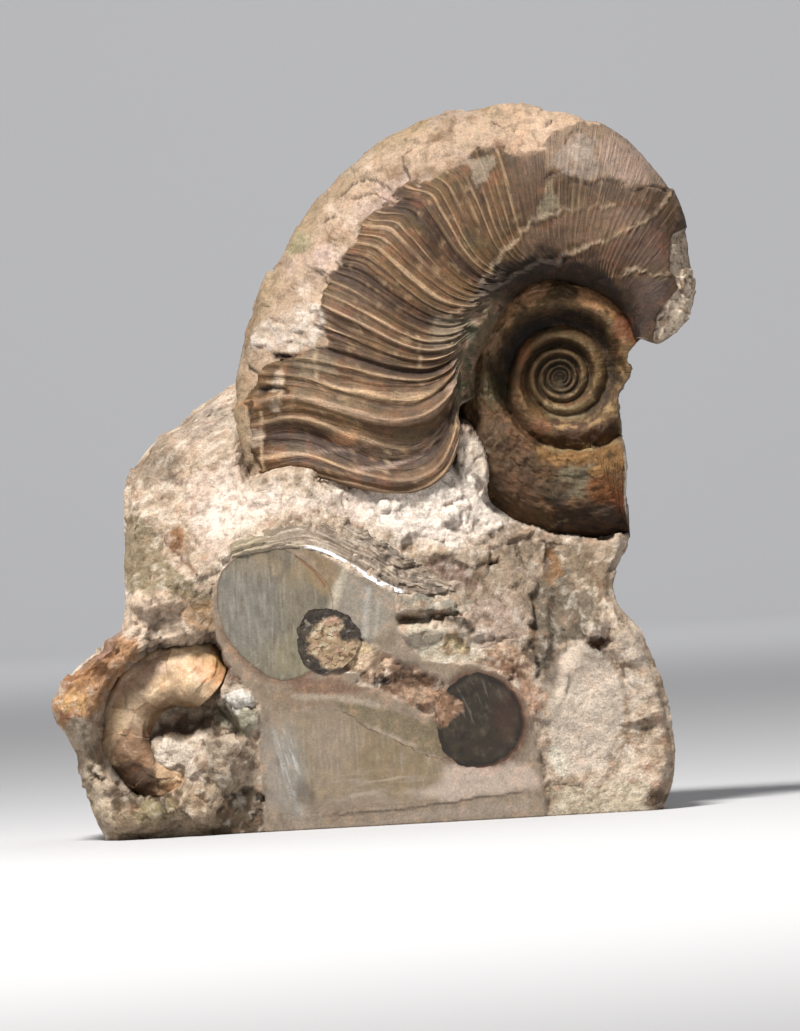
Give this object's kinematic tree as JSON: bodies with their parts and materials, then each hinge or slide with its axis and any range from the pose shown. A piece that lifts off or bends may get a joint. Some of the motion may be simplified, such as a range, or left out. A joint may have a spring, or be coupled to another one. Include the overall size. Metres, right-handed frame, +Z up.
{
  "type": "ammonite in matrix",
  "caption": "Ribbed ammonite standing out of a block of pale rock with a sawn flat base and a polished front that cuts through other coiled shells.",
  "frame": {"origin": "middle of the sawn base, on the surface that the block stands on", "axes": "+Z up along the height, -Y out of the polished front, +X to the right as seen from the front"},
  "size_m": [0.1013, 0.0441, 0.1082],
  "materials": {
    "rock": "rough, polished on the front",
    "ribbed_shell": "satin",
    "smooth_shell": "satin",
    "calcite": "polished",
    "tan_calcite": "polished",
    "laminated_shell": "satin"
  },
  "bodies": {
    "root": {"matrix": "rock", "large_ammonite": "ribbed_shell", "small_ammonite": "smooth_shell", "sawn_ammonite": "calcite", "sawn_body_chamber": "tan_calcite", "shell_fragment": "laminated_shell"}
  },
  "joints": []
}
